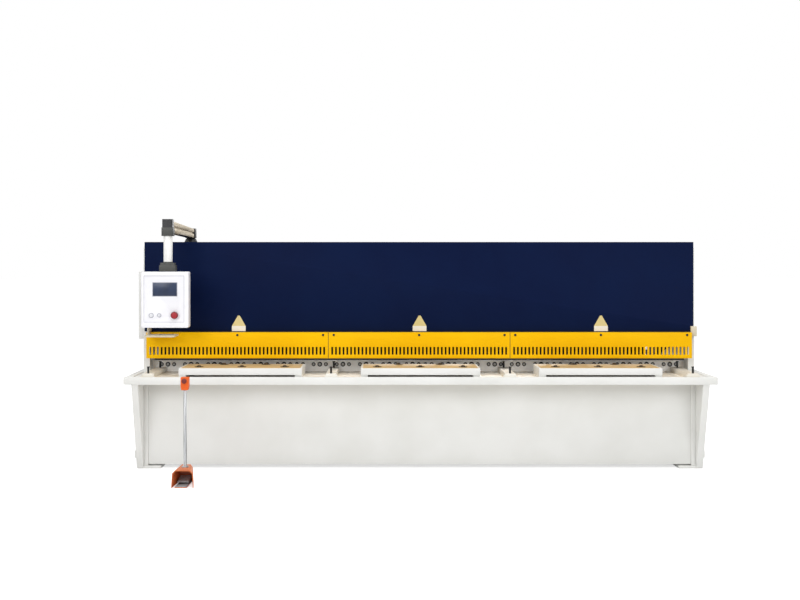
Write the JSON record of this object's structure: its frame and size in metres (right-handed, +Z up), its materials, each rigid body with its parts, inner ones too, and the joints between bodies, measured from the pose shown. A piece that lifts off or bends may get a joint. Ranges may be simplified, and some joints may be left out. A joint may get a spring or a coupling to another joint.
{
  "type": "swing beam shear",
  "caption": "Floor-standing swing beam plate shear with slotted finger guard, ball transfer table, back gauge, swinging control pendant and separate foot switch.",
  "frame": {"origin": "on the floor, in the middle of the machine's length and of its depth from foot switch to back gauge, under the cutting line", "axes": "+X along the blades to the operator's right, +Y from the operator to the back, +Z up"},
  "size_m": [4.376, 2.17, 1.874],
  "materials": {
    "white_enamel": "satin",
    "blue_enamel": "satin",
    "yellow_enamel": "satin",
    "tool_steel": "ground",
    "chrome": "polished",
    "black_steel": "satin",
    "grey_casting": "satin",
    "aluminium": "extruded",
    "pendant_white": "satin",
    "screen": "gloss",
    "red_plastic": "gloss",
    "clear_plastic": "gloss",
    "orange_enamel": "satin",
    "ribbed_alloy": "ribbed"
  },
  "bodies": {
    "frame": {"left_side_frame": "white_enamel", "right_side_frame": "white_enamel", "foot_plates": "black_steel", "pivot_pins": "chrome", "front_panel": "white_enamel", "corner_strips": "white_enamel", "table_deck": "white_enamel", "bed_bar": "white_enamel", "bed_floor": "white_enamel", "lower_blade": "tool_steel", "apron_beam": "white_enamel", "side_rails": "white_enamel", "ball_tables": "white_enamel", "transfer_balls": "chrome", "support_arms": "white_enamel", "stop_pins": "black_steel", "front_girder": "blue_enamel", "hold_downs": "black_steel", "guard_panels": "yellow_enamel", "upper_cover": "blue_enamel", "top_plate": "blue_enamel", "rear_ties": "white_enamel", "rear_slide": "white_enamel", "swing_beam": "blue_enamel", "beam_arms": "blue_enamel", "upper_blade": "tool_steel", "main_cylinders": "black_steel", "piston_rods": "chrome", "gauge_rails": "tool_steel", "gauge_screws": "tool_steel", "gauge_bar": "tool_steel", "oil_tank": "white_enamel", "pump_motor": "grey_casting", "valve_block": "grey_casting", "tool_shelf": "white_enamel", "side_cabinet": "white_enamel", "boom_foot": "grey_casting", "pedal_hood": "orange_enamel", "pedal_pole": "chrome", "stop_box": "orange_enamel"},
    "boom": {"boom_arm": "aluminium", "boom_elbow": "grey_casting", "drop_tube": "aluminium"},
    "pendant": {"pendant_coupling": "grey_casting", "pendant_casing": "pendant_white", "pendant_screen": "screen"},
    "left_push_button": {"left_push_button": "clear_plastic"},
    "right_push_button": {"right_push_button": "clear_plastic"},
    "pendant_stop": {"pendant_stop": "red_plastic"},
    "treadle": {"treadle": "ribbed_alloy"},
    "pedal_stop": {"pedal_stop": "red_plastic"}
  },
  "joints": [
    {"name": "boom_swing", "type": "hinge", "parent": "frame", "child": "boom", "pos_m": [-1.88, 0.5, 1.76], "axis": [0, 0, 1], "range_deg": [-90, 12]},
    {"name": "pendant_turn", "type": "hinge", "parent": "boom", "child": "pendant", "pos_m": [-1.88, -0.46, 1.556], "axis": [0, 0, 1], "range_deg": [-90, 90]},
    {"name": "left_button_push", "type": "slide", "parent": "pendant", "child": "left_push_button", "axis": [0, 1, 0], "range_m": [0, 0.003], "stiffness_N_per_m": 500, "springref_m": -0.002},
    {"name": "right_button_push", "type": "slide", "parent": "pendant", "child": "right_push_button", "axis": [0, 1, 0], "range_m": [0, 0.003], "stiffness_N_per_m": 500, "springref_m": -0.002},
    {"name": "pendant_stop_push", "type": "slide", "parent": "pendant", "child": "pendant_stop", "axis": [0, 1, 0], "range_m": [0, 0.005]},
    {"name": "treadle_press", "type": "hinge", "parent": "frame", "child": "treadle", "pos_m": [-1.67, -0.88, 0.038], "axis": [1, 0, 0], "range_deg": [0, 5], "stiffness_Nm_per_rad": 20, "springref_deg": -6.88},
    {"name": "pedal_stop_push", "type": "slide", "parent": "frame", "child": "pedal_stop", "axis": [0, 1, 0], "range_m": [0, 0.005]}
  ]
}
